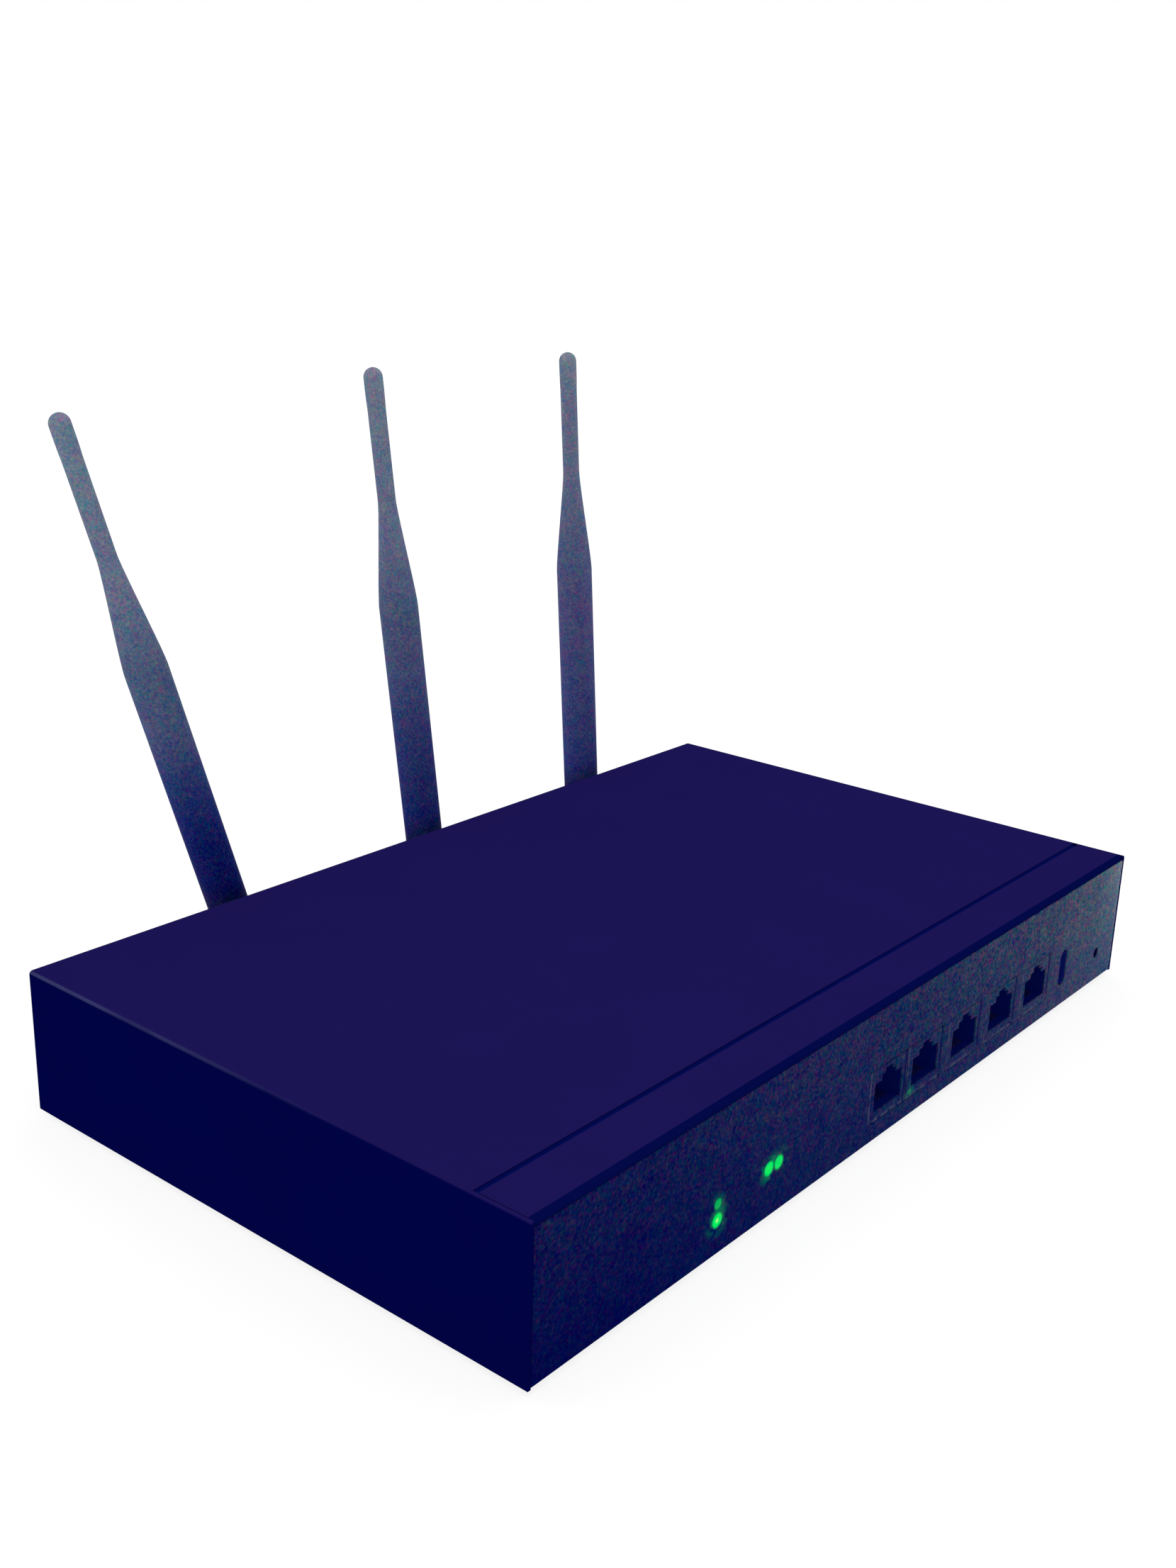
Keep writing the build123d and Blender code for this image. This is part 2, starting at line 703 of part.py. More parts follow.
# ---------------------------------------------------------------- antenna connectors and leads
socket_centres = [(x, back - y) for x, y in socket_places]
with BuildPart() as coax_sockets:
    with BuildSketch(chip_level):
        with Locations(*socket_centres):
            Circle(socket_radius)
    extrude(amount=socket_height)
save(coax_sockets, "coax_sockets")

plug_level = board_top + socket_height
with BuildPart() as coax_plugs:
    with BuildSketch(Plane.XY.offset(plug_level)):
        with Locations(*socket_centres):
            Circle(plug_radius)
    extrude(amount=plug_height)
save(coax_plugs, "coax_plugs")

flange_face = wall_inside - connector_flange  # inner face of a connector's hexagon
tail_end = flange_face - connector_tail
coupling_start = tray_back + washer_thickness + nut_thickness + 2 * running_gap
coupling_end = coupling_start + coupling_length
barrel_end = coupling_end - coupling_wall - stem_head - 2 * running_gap
elbow_start = coupling_end + running_gap
slot_start = elbow_start + elbow_base
pivot_y = slot_start + knuckle_radius + 2 * running_gap

for number, (x, socket, socket_exit) in enumerate(zip(antenna_places, socket_centres, socket_exits), start=1):
    with BuildPart() as antenna_connector:
        with BuildSketch(Plane(origin=(x, flange_face, antenna_axis), x_dir=(1, 0, 0), z_dir=(0, 1, 0))):
            RegularPolygon(hex_across / 2, 6, major_radius=False)
        extrude(amount=wall_inside - flange_face)
        with BuildSketch(Plane(origin=(x, wall_inside, antenna_axis), x_dir=(1, 0, 0), z_dir=(0, 1, 0))):
            Circle(barrel_radius)
        extrude(amount=barrel_end - wall_inside)
        with BuildSketch(Plane(origin=(x, flange_face, antenna_axis), x_dir=(1, 0, 0), z_dir=(0, 1, 0))):
            Circle(tail_radius)
        extrude(amount=-connector_tail)
        # hollow mouth of the barrel
        with BuildSketch(Plane(origin=(x, barrel_end, antenna_axis), x_dir=(1, 0, 0), z_dir=(0, 1, 0))):
            Circle(barrel_radius - mouth_wall)
        extrude(amount=-mouth_depth, mode=Mode.SUBTRACT)
        chamfer(antenna_connector.edges().filter_by(GeomType.CIRCLE).sort_by(Axis.Y)[-2:], thread_chamfer)
    save(antenna_connector, f"antenna_connector_{number}")

    with BuildPart() as coax_lead:
        exit_x, exit_y = socket_exit
        lead_level = board_top + coax_lift
        plug_edge = (socket[0] + exit_x * plug_radius, socket[1] + exit_y * plug_radius, lead_level)
        if exit_x:
            points = [
                (x, tail_end, antenna_axis),
                (x, tail_end - 8.0, antenna_axis),
                (x - 9.0 * exit_x, tail_end - 17.0, board_top + 5.0),
                (x - 25.0 * exit_x, socket[1] + 1.0, board_top + 2.6),
                (plug_edge[0] + 13.0 * exit_x, socket[1], lead_level),
                plug_edge,
            ]
        else:
            points = [
                (x, tail_end, antenna_axis),
                (x, tail_end - 6.5, antenna_axis),
                (x, plug_edge[1] + 7.5, lead_level),
                plug_edge,
            ]
        radii = bend_radii(points)
        with BuildLine() as lead_route:
            FilletPolyline(*points, radius=radii)
        with BuildSketch(Plane(origin=lead_route.line @ 0, z_dir=lead_route.line % 0)):
            Circle(coax_radius)
        sweep()
    route_length = sum(edge.length for edge in lead_route.edges())
    section_length = coax_lead.part.volume / (pi * coax_radius**2)
    print(f"coax_lead_{number}: radii {[round(r, 1) for r in radii]}, {route_length:.1f} long, "
          f"{section_length:.1f} by its volume")
    save(coax_lead, f"coax_lead_{number}")

with BuildPart() as connector_washers:
    for x in antenna_places:
        with BuildSketch(Plane(origin=(x, tray_back, antenna_axis), z_dir=(0, 1, 0))):
            Circle(hex_across / 2 + washer_lip)
            Circle(barrel_radius, mode=Mode.SUBTRACT)
        extrude(amount=washer_thickness)
save(connector_washers, "connector_washers")

with BuildPart() as connector_nuts:
    for x in antenna_places:
        nut_plane = Plane(origin=(x, tray_back + washer_thickness, antenna_axis), z_dir=(0, 1, 0))
        with BuildSketch(nut_plane):
            RegularPolygon(hex_across / 2, 6, major_radius=False)
            Circle(barrel_radius, mode=Mode.SUBTRACT)
        extrude(amount=nut_thickness)
save(connector_nuts, "connector_nuts")

with BuildPart() as coupling_nuts:
    for x in antenna_places:
        nut_plane = Plane(origin=(x, coupling_start, antenna_axis), z_dir=(0, 1, 0))
        with BuildSketch(nut_plane):
            RegularPolygon(hex_across / 2, 6, major_radius=False)
        extrude(amount=coupling_length)
        with BuildSketch(nut_plane):
            Circle(barrel_radius)
        extrude(amount=coupling_length - coupling_wall, mode=Mode.SUBTRACT)
        with BuildSketch(nut_plane):
            Circle(stem_radius + turning_clearance)
        extrude(amount=coupling_length, mode=Mode.SUBTRACT)
save(coupling_nuts, "coupling_nuts")

# ---------------------------------------------------------------- antennas
for number, (x, lean) in enumerate(zip(antenna_places, antenna_leans), start=1):
    pivot = (x, pivot_y, antenna_axis)
    pin_direction, blade_direction = lean_directions(lean)
    hinge_plane = Plane(origin=pivot, x_dir=(0, 1, 0), z_dir=pin_direction)
    blade_plane = Plane(origin=pivot, x_dir=pin_direction, z_dir=(0, -1, 0))

    with BuildPart() as antenna_elbow:
        with BuildSketch(Plane(origin=(x, elbow_start, antenna_axis), z_dir=(0, 1, 0))):
            Circle(elbow_radius)
        extrude(amount=pivot_y + ear_radius - elbow_start)
        with BuildSketch(hinge_plane):
            Circle(ear_radius)
            with Locations(((elbow_start - pivot_y) / 2, 0)):
                Rectangle(pivot_y - elbow_start, 2 * elbow_radius + margin)
        extrude(amount=elbow_radius + margin, both=True, mode=Mode.INTERSECT)
        with BuildSketch(hinge_plane):
            with Locations(((slot_start - pivot_y + ear_radius + margin) / 2, 0)):
                Rectangle(ear_radius + margin + pivot_y - slot_start, 2 * elbow_radius + margin)
        extrude(amount=knuckle_thickness / 2 + running_gap, both=True, mode=Mode.SUBTRACT)
        with BuildSketch(hinge_plane):
            Circle(pin_radius)
        extrude(amount=elbow_radius, both=True, mode=Mode.SUBTRACT)
        # stem that turns in the coupling nut, held by its head
        with BuildSketch(Plane(origin=(x, elbow_start, antenna_axis), z_dir=(0, 1, 0))):
            Circle(stem_radius)
        extrude(amount=-(coupling_wall + 2 * running_gap))
        stem_end = elbow_start - coupling_wall - 2 * running_gap
        with BuildSketch(Plane(origin=(x, stem_end, antenna_axis), z_dir=(0, 1, 0))):
            Circle(stem_head_radius)
        extrude(amount=-stem_head)
    save(antenna_elbow, f"antenna_elbow_{number}")

    with BuildPart() as hinge_pin:
        with BuildSketch(hinge_plane):
            Circle(pin_radius)
        extrude(amount=pin_length / 2, both=True)
    save(hinge_pin, f"hinge_pin_{number}")

    with BuildPart() as antenna_blade:
        blade_foot = elbow_radius + 2 * running_gap
        swell_start = antenna_length - tip_swell
        with BuildSketch(blade_plane):
            with BuildLine():
                Polyline((0, blade_foot), (blade_radius, blade_foot), (blade_radius, blade_shoulder))
                flare = Bezier(
                    (blade_radius, blade_shoulder),
                    (blade_radius, blade_shoulder + flare_ease),
                    (neck_radius, neck_start - flare_ease),
                    (neck_radius, neck_start),
                )
                neck = Line(flare @ 1, (neck_radius, swell_start))
                swell = Bezier(
                    neck @ 1,
                    (neck_radius, swell_start + tip_swell / 4),
                    (tip_radius, swell_start + tip_swell / 4),
                    (tip_radius, swell_start + tip_swell / 2),
                )
                rise = Line(swell @ 1, (tip_radius, antenna_length - tip_radius))
                RadiusArc(rise @ 1, (0, antenna_length), -tip_radius)
                Line((0, antenna_length), (0, blade_foot))
            make_face()
        revolve(axis=Axis(pivot, blade_direction))
        foot_edge = antenna_blade.edges().filter_by(GeomType.CIRCLE).sort_by(Axis.Z)[0]
        chamfer(foot_edge, blade_chamfer)
        with BuildSketch(hinge_plane):
            Circle(knuckle_radius)
            with Locations((0, (blade_foot + knuckle_root) / 2)):
                Rectangle(2 * knuckle_radius, blade_foot + knuckle_root)
        extrude(amount=knuckle_thickness / 2, both=True)
        with BuildSketch(hinge_plane):
            Circle(pin_radius + turning_clearance)
        extrude(amount=knuckle_thickness, both=True, mode=Mode.SUBTRACT)
    save(antenna_blade, f"antenna_blade_{number}")

# ---------------------------------------------------------------- power inlet
inlet_x, inlet_z = left + inlet_place, board_top + inlet_axis_lift
inlet_plane = Plane(origin=(inlet_x, tray_back, inlet_z), x_dir=(1, 0, 0), z_dir=(0, 1, 0))
with BuildPart() as dc_inlet:
    with BuildSketch(Plane.XY.offset(board_top)):
        with Locations((inlet_x, wall_inside - inlet_depth / 2)):
            Rectangle(inlet_width, inlet_depth)
    extrude(amount=inlet_height)
    with BuildSketch(inlet_plane):
        Circle(inlet_nose_radius)
    extrude(amount=-sheet)
    with BuildSketch(inlet_plane):
        Circle(inlet_bore_radius)
    extrude(amount=-inlet_bore_depth, mode=Mode.SUBTRACT)
    with BuildSketch(inlet_plane.offset(-inlet_bore_depth)):
        Circle(inlet_pin_root)
    extrude(amount=-inlet_pin_seat, mode=Mode.SUBTRACT)
save(dc_inlet, "dc_inlet")

with BuildPart() as dc_inlet_pin:
    with BuildSketch(inlet_plane.offset(-inlet_bore_depth)):
        Circle(inlet_pin_radius)
    extrude(amount=inlet_bore_depth - inlet_pin_setback)
    with BuildSketch(inlet_plane.offset(-inlet_bore_depth)):
        Circle(inlet_pin_root)
    extrude(amount=-inlet_pin_seat)
save(dc_inlet_pin, "dc_inlet_pin")

# ---------------------------------------------------------------- rocker switch
switch_x, switch_z = left + switch_place, underside + switch_height
switch_face = tray_back + switch_flange[2]
switch_plane = Plane(origin=(switch_x, switch_face, switch_z), x_dir=(0, 0, 1), z_dir=(0, 1, 0))
pivot_depth = switch_face - rocker_pivot_depth
with BuildPart() as switch_housing:
    with BuildSketch(switch_plane):
        RectangleRounded(switch_flange[1], switch_flange[0], switch_corner)
    extrude(amount=-switch_flange[2])
    with BuildSketch(switch_plane.offset(-switch_flange[2])):
        Rectangle(switch_body[1], switch_body[0])
    extrude(amount=-switch_body[2])
    with BuildSketch(switch_plane):
        Rectangle(2 * rocker_half + 7 * rocker_gap, rocker_width + 2 * rocker_gap)
    extrude(amount=-(rocker_pivot_depth + rocker_half), mode=Mode.SUBTRACT)
    with BuildSketch(Plane(origin=(switch_x, pivot_depth, switch_z), x_dir=(0, 1, 0), z_dir=(1, 0, 0))):
        Circle(trunnion_radius + turning_clearance)
    trunnion_reach = rocker_width / 2 + trunnion_length
    extrude(amount=trunnion_reach + rocker_gap / 2, both=True, mode=Mode.SUBTRACT)
save(switch_housing, "switch_housing")

rocker_angle = radians(rocker_tilt)
tilted = Plane(
    origin=(switch_x, pivot_depth, switch_z),
    x_dir=(0, cos(rocker_angle), sin(rocker_angle)),
    z_dir=(1, 0, 0),
)
with BuildPart() as power_rocker:
    with BuildSketch(tilted):
        with BuildLine():
            Polyline(
                (rocker_rise, rocker_half),
                (rocker_dip, 0),
                (rocker_rise, -rocker_half),
                (-rocker_dip / 2, -rocker_half + rocker_dip / 2),
                (-rocker_rise, 0),
                (-rocker_dip / 2, rocker_half - rocker_dip / 2),
                close=True,
            )
        make_face()
    extrude(amount=rocker_width / 2, both=True)
    with BuildSketch(tilted):
        Circle(trunnion_radius)
    extrude(amount=trunnion_reach, both=True)
save(power_rocker, "power_rocker")
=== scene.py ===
import json

import bmesh
import bpy
from mathutils import Matrix, Vector


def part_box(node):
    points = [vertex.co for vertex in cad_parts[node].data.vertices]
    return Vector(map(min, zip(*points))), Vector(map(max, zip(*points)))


# Looks of a desktop wireless router: painted steel case, printed front film with status lights,
# network jacks, three swivelling antennas. Sizes are in metres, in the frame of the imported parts.

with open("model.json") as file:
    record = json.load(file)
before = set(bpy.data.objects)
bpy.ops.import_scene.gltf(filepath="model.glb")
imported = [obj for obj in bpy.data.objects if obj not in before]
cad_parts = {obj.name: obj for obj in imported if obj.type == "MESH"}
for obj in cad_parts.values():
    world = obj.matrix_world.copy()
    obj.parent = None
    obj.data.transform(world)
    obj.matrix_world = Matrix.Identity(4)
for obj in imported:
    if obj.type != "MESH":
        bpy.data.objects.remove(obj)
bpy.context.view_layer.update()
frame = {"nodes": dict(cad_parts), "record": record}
MM = 0.001


# ---------------------------------------------------------------- places, taken from the frame
def middle(node):
    """Centre of a node's box."""
    low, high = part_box(node)
    return (low + high) / 2


case_low, case_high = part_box("top_cover")
film_low, film_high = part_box("front_overlay")
board_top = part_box("main_board")[1].z
guide_low, guide_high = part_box("light_guide")
case_front, case_back = case_low.y, case_high.y
case_top = case_high.z
case_side = case_high.x
seam_back = case_front + 14.1 * MM
seam_front = seam_back - 1.2 * MM
seam_depth = 5 * MM
seam_edge = 0.2 * MM  # the seam's upper edges keep the paint
seam_overlap = 1.0 * MM  # how far the glow of the seam runs under the cover
side_wall = 1.3 * MM  # the side walls with a little room
jack_count = 5

# status lights: seven columns in two rows
light_pitch = 3.5 * MM
light_columns = 7
first_light = (guide_low.x + guide_high.x) / 2 - light_pitch * (light_columns - 1) / 2
light_rows = (board_top + 3.0 * MM, board_top + 6.7 * MM)  # their heights

# link light at the foot of the second jack
second_jack = middle("jack_shield_2")
link_light = (second_jack.x - 6.2 * MM, board_top + 1.3 * MM)  # its X and Z


def light_place(column, row):
    """X and Z of one status light."""
    return first_light + column * light_pitch, light_rows[row]


# ---------------------------------------------------------------- shader maths
def linear(colour):
    """Scene-linear value of an 8-bit screen colour."""
    values = []
    for part in colour:
        share = part / 255
        values.append(share / 12.92 if share <= 0.04045 else ((share + 0.055) / 1.055) ** 2.4)
    return values


class Signal:
    """A socket whose arithmetic adds Math nodes to its material."""

    def __init__(self, finish, socket):
        self.finish = finish
        self.socket = socket

    def maths(self, operation, *values):
        return self.finish.node("Math", {"operation": operation}, dict(enumerate(values)))

    def __add__(self, other):
        return self.maths("ADD", self, other)

    def __radd__(self, other):
        return self.maths("ADD", other, self)

    def __sub__(self, other):
        return self.maths("SUBTRACT", self, other)

    def __rsub__(self, other):
        return self.maths("SUBTRACT", other, self)

    def __mul__(self, other):
        return self.maths("MULTIPLY", self, other)

    def __rmul__(self, other):
        return self.maths("MULTIPLY", other, self)

    def __truediv__(self, other):
        return self.maths("DIVIDE", self, other)

    def __pow__(self, other):
        return self.maths("POWER", self, other)

    def __gt__(self, other):
        return self.maths("GREATER_THAN", self, other)

    def __lt__(self, other):
        return self.maths("LESS_THAN", self, other)

    def abs(self):
        return self.maths("ABSOLUTE", self)

    def highest(self, other):
        return self.maths("MAXIMUM", self, other)

    def lowest(self, other):
        return self.maths("MINIMUM", self, other)

    def ramp(self, start, end, low=0.0, high=1.0):
        """Runs from low to high, smoothly, as this signal goes from start to end."""
        settings = {"interpolation_type": "SMOOTHSTEP"}
        values = {"Value": self, "From Min": start, "From Max": end, "To Min": low, "To Max": high}
        return self.finish.node("MapRange", settings, values)


class Finish:
    """A material being put together around one Principled shader."""

    def __init__(self, name, colour, roughness, gloss=0.06, metallic=0.0):
        self.material = bpy.data.materials.new(name)
        self.material.use_nodes = True
        self.tree = self.material.node_tree
        self.shader = self.tree.nodes["Principled BSDF"]
        self.feed(self.shader.inputs["Base Color"], linear(colour))
        self.feed(self.shader.inputs["Roughness"], roughness)
        self.feed(self.shader.inputs["Specular IOR Level"], gloss)
        self.feed(self.shader.inputs["Metallic"], metallic)
        self.place = self.node("TexCoord", {}, {}, "Object")
        parts = self.node("SeparateXYZ", {}, {"Vector": self.place}, None)
        self.x, self.y, self.z = (Signal(self, parts.outputs[name]) for name in "XYZ")
        facing = self.node("TexCoord", {}, {}, "Normal")
        parts = self.node("SeparateXYZ", {}, {"Vector": facing}, None)
        self.facing_y, self.facing_z = (Signal(self, parts.outputs[name]) for name in "YZ")

    def feed(self, socket, value):
        """Links a signal to a socket, or sets a number or colour on it."""
        if isinstance(value, Signal):
            self.tree.links.new(value.socket, socket)
        elif isinstance(value, (list, tuple)) and len(value) == 3 and len(socket.default_value) == 4:
            socket.default_value = (*value, 1.0)
        else:
            socket.default_value = value

    def node(self, kind, settings, values, output=0):
        """Adds a node with its settings, feeds its inputs, and returns one output or, for None, the node."""
        made = self.tree.nodes.new("ShaderNode" + kind)
        for setting, value in settings.items():
            if setting == "stops":
                self.set_stops(made.color_ramp, value)
            else:
                setattr(made, setting, value)
        for name, value in values.items():
            self.feed(made.inputs[name], value)
        return made if output is None else Signal(self, made.outputs[output])

    def set_stops(self, ramp, stops):
        """Fills a colour ramp with (position, screen colour) pairs."""
        while len(ramp.elements) < len(stops):
            ramp.elements.new(0.5)
        for element, (position, colour) in zip(ramp.elements, stops):
            element.position = position
            element.color = (*linear(colour), 1.0)

    def vector_maths(self, operation, *values):
        """Arithmetic on colours or places, part by part."""
        return self.node("VectorMath", {"operation": operation}, dict(enumerate(values)))

    def mix(self, share, first, second):
        """Colour between two, by a share from 0 to 1."""
        return self.node("Mix", {"data_type": "RGBA"}, {0: share, 6: first, 7: second}, 2)

    def noise(self, scale, detail=2.0):
        """Soft noise around 0.5, with a scale in waves per metre."""
        return self.node("TexNoise", {}, {"Vector": self.place, "Scale": scale, "Detail": detail})

    def gradient(self, share, stops):
        """Screen colours along a share from 0 to 1."""
        return self.node("ValToRGB", {"stops": stops}, {"Fac": share})

    def colour(self, value):
        self.feed(self.shader.inputs["Base Color"], value)

    def roughness(self, value):
        self.feed(self.shader.inputs["Roughness"], value)

    def bump(self, height, distance, strength=1.0):
        values = {"Height": height, "Distance": distance, "Strength": strength}
        self.feed(self.shader.inputs["Normal"], self.node("Bump", {}, values))

    def glow(self, colour, strength=1.0):
        self.feed(self.shader.inputs["Emission Color"], colour)
        self.shader.inputs["Emission Strength"].default_value = strength


# ---------------------------------------------------------------- finishes of the case
# painted light and shade: the case's top is indigo where the light falls on it, and its sides and front bend
# are navy in painted shade
lit_top_indigo = (27, 20, 81)
shaded_side_navy = (1, 4, 65)
shaded_bend_navy = (3, 9, 68)
# painted glow in the shade at the bottom of the seam
seam_glow_navy = (2, 7, 60)
black = (0, 0, 0)
# painted highlight on the bend of the case's side edges
edge_highlight = (62, 66, 108)
band_reach = 1.6 * MM  # how far the painted shade of the front bend runs onto the top
band_blur = 0.1 * MM
level_room = 0.3 * MM  # the strip's flat top lies this close to the top of the case
highlight_start = 40 * MM  # the painted highlight on the side edges runs from here to the back

# marks on the rocker, above and below its middle
mark_offset = 2.6 * MM
bar_width = 0.5 * MM
bar_length = 2.0 * MM
ring_radius = 0.9 * MM
ring_line = 0.44 * MM

led_green = (0, 235, 66)
led_heart = (170, 255, 120)

# distances from a light at which it and its halo on the film start to fade, and at which they are gone
light_core, light_reach = 1.0 * MM, 1.95 * MM
halo_core, halo_reach = 1.2 * MM, 4.6 * MM
link_core, link_reach = 0.4 * MM, 1.6 * MM
link_halo_core, link_halo_reach = 0.8 * MM, 3.4 * MM
heart_core, heart_reach = 0.2 * MM, 0.7 * MM

# lit status lights, as (column, row, brightness)
lit_lights = [(0, 0, 1.0), (0, 1, 0.5), (5, 1, 1.0), (6, 1, 0.92)]


def coat(paint, colour):
    """Powder coat: faint clouds in the colour and a fine orange peel."""
    clouds = paint.noise(38, detail=3).ramp(0.3, 0.7, 0.98, 1.02)
    shade = paint.node("CombineXYZ", {}, {"X": clouds, "Y": clouds, "Z": clouds})
    paint.colour(paint.vector_maths("MULTIPLY", colour, shade))
    paint.roughness(paint.noise(900, detail=2).ramp(0.3, 0.7, 0.42, 0.58))
    paint.bump(paint.noise(1400, detail=1.5), 0.02 * MM, 0.35)
    return paint.material


def glow_in_seam(paint):
    """Painted glow: the bottom of the seam across the top glows deep navy, so its shade does not go black.
    """
    across = (paint.y > seam_front - seam_edge) * (paint.y < seam_back + seam_overlap)
    below = (paint.z < case_top - seam_edge) * (paint.z > case_top - seam_depth)
    inside = paint.x.abs() < case_side - side_wall
    paint.glow(paint.mix(across * below * inside, linear(black), linear(seam_glow_navy)))


def cover_paint():
    """Top cover: painted light makes the top indigo and painted shade makes the sides navy; a painted
    highlight runs pale along the rear of the side edges.
    """
    paint = Finish("cover_paint", shaded_side_navy, 0.5, gloss=0.0)
    upward = paint.facing_z.ramp(0.45, 0.8)
    on_bend = paint.facing_z.ramp(0.2, 0.5) * paint.facing_z.ramp(0.97, 0.8)
    toward_back = paint.y.ramp(case_front + highlight_start, case_back, 0.0, 0.7)
    # painted highlight: a pale line on the bend of the side edges, fading toward the front
    painted_highlight = on_bend * toward_back * paint.noise(60, detail=3).ramp(0.3, 0.6, 0.5, 1.0)
    colour = paint.mix(upward, linear(shaded_side_navy), linear(lit_top_indigo))
    glow_in_seam(paint)
    return coat(paint, paint.mix(painted_highlight, colour, linear(edge_highlight)))


def tray_paint():
    """Base tray with the folded front strip: painted light makes only the strip's flat top indigo; the front
    bend and the rest are navy in painted shade.
    """
    paint = Finish("tray_paint", shaded_side_navy, 0.5, gloss=0.0)
    level = (paint.z > case_top - level_room) * (paint.facing_z > 0.9)
    behind_bend = paint.y.ramp(case_front + band_reach - band_blur, case_front + band_reach)
    before_seam = paint.y < seam_front
    colour = paint.mix(level * behind_bend * before_seam, linear(shaded_bend_navy), linear(lit_top_indigo))
    glow_in_seam(paint)
    return coat(paint, colour)


def distance_to(finish, place_x, place_z):
    """Distance on the front from a point there."""
    across, up = finish.x - place_x, finish.z - place_z
    return (across * across + up * up) ** 0.5


def light_spots(finish, near, far):
    """Brightness of the lit status lights: full within near, none past far; dim ones are smaller."""
    total = 0.0
    for column, row, brightness in lit_lights:
        size = 0.45 + 0.55 * brightness
        distance = distance_to(finish, *light_place(column, row))
        total = distance.ramp(near * size, far * size, brightness, 0.0) + total
    return total


def light_colour(finish, share):
    """Green of the lights by their brightness, nearly white at the heart of the first one."""
    heart = distance_to(finish, *light_place(0, 0)).ramp(heart_core, heart_reach, 0.75, 0.0)
    green = finish.mix(heart, linear(led_green), linear(led_heart))
    return finish.mix(share, linear(black), green)


def speckled(finish, colour, grain, strength=1.0):
    """Uneven grain over a colour: layers of noise, each with its own change in red, green and blue."""
    shown = finish.vector_maths("POWER", colour, [1 / screen_gamma] * 3)
    for size, detail, distortion, amounts in grain:
        settings = {"Vector": finish.place, "Scale": 1 / size, "Detail": detail, "Distortion": distortion}
        pattern = finish.node("TexNoise", {}, settings, "Color")
        steady = [-amount / 2 for amount in amounts]
        change = finish.vector_maths("MULTIPLY_ADD", pattern, amounts, steady)
        change = finish.node("VectorMath", {"operation": "SCALE"}, {0: change, "Scale": strength})
        shown = finish.vector_maths("ADD", shown, change)
    shown = finish.vector_maths("MAXIMUM", shown, linear(black))
    return finish.vector_maths("POWER", shown, [screen_gamma] * 3)


def film_surface(finish):
    """Colour of the front, with its painted light, and its grain, which is stronger to the right and
    upwards.
    """
    rightward = finish.x.ramp(-case_side, case_side, 0.85, 1.5)
    upward = finish.z.ramp(film_low.z, film_high.z, 0.8, 1.1)
    return speckled(finish, film_painted_light(finish), film_grain, rightward * upward)


screen_gamma = 2.2

# fine grains and soft patches, as (size, detail, distortion, change on the screen in red, green and blue)
film_grain = [
    (0.7 * MM, 1.0, 0.0, (0.40, 0.25, 0.115)),
    (2.6 * MM, 3.0, 0.6, (0.17, 0.13, 0.05)),
]
antenna_grain = [
    (0.6 * MM, 1.0, 0.0, (0.48, 0.30, 0.18)),
    (2.6 * MM, 3.0, 0.6, (0.24, 0.15, 0.08)),
]

# colours of the film with painted light, paler to the right, along its lower and upper edge, by share of the
# case's width from the left
film_low_colours = [
    (0.0, (1, 7, 70)),
    (0.125, (2, 9, 70)),
    (0.27, (9, 19, 75)),
    (0.44, (17, 27, 77)),
    (0.60, (27, 36, 80)),
    (0.76, (33, 41, 84)),
    (0.83, (48, 53, 89)),
    (0.90, (54, 61, 95)),
    (1.0, (55, 73, 105)),
]
film_high_colours = [
    (0.0, (16, 21, 72)),
    (0.19, (19, 27, 75)),
    (0.35, (30, 35, 79)),
    (0.53, (33, 43, 81)),
    (0.68, (45, 54, 87)),
    (0.83, (57, 67, 92)),
    (0.94, (75, 84, 104)),
    (0.985, (92, 104, 122)),
    (1.0, (117, 125, 142)),
]


def film_painted_light(finish):
    """Colour of the film at a place on the front, with its painted light and without its grain."""
    across = (finish.x + case_side) / (2 * case_side)
    up = (finish.z - film_low.z) / (film_high.z - film_low.z)
    low = finish.gradient(across, film_low_colours)
    high = finish.gradient(across, film_high_colours)
    return finish.mix(up, low, high)


def front_film():
    """Film on the front: painted light makes it dark at the lower left and paler to the upper right; lit
    around the lights.
    """
    film = Finish("front_film", (30, 40, 80), 0.6, gloss=0.0)
    film.colour(film_surface(film))
    spot = light_spots(film, light_core, light_reach)
    patchy = film.noise(420).ramp(0.35, 0.65, 0.0, 0.15)
    halo = light_spots(film, halo_core, halo_reach) * patchy
    film.glow(light_colour(film, (spot + halo).lowest(1.0)))
    film.bump(film.noise(2600, detail=1.0), 0.015 * MM, 0.3)
    return film.material


def foot_rubber():
    rubber = Finish("foot_rubber", (16, 17, 30), 0.85, 0.2)
    rubber.colour(rubber.mix(rubber.noise(260, detail=4), linear((12, 13, 24)), linear((26, 28, 44))))
    rubber.bump(rubber.noise(1800, detail=2), 0.05 * MM, 0.5)
    return rubber.material


def brushed_metal(name, dark, pale, roughness, grain=(900, 900, 60)):
    """Bare or plated metal with fine lines along one direction."""
    metal = Finish(name, pale, roughness, 0.5, metallic=1.0)
    stretched = metal.node("Mapping", {}, {"Vector": metal.place, "Scale": grain})
    lines = metal.node("TexNoise", {}, {"Vector": stretched, "Scale": 1.0, "Detail": 3.0})
    stains = metal.noise(120, detail=4)
    shade = (lines * 0.65 + stains * 0.35).ramp(0.3, 0.7)
    metal.colour(metal.mix(shade, linear(dark), linear(pale)))
    metal.roughness(lines.ramp(0.3, 0.7, roughness - 0.08, roughness + 0.12))
    metal.bump(lines, 0.01 * MM, 0.3)
    return metal


def screw_steel():
    return brushed_metal("screw_steel", (74, 80, 106), (128, 136, 160), 0.38, (700, 700, 700)).material


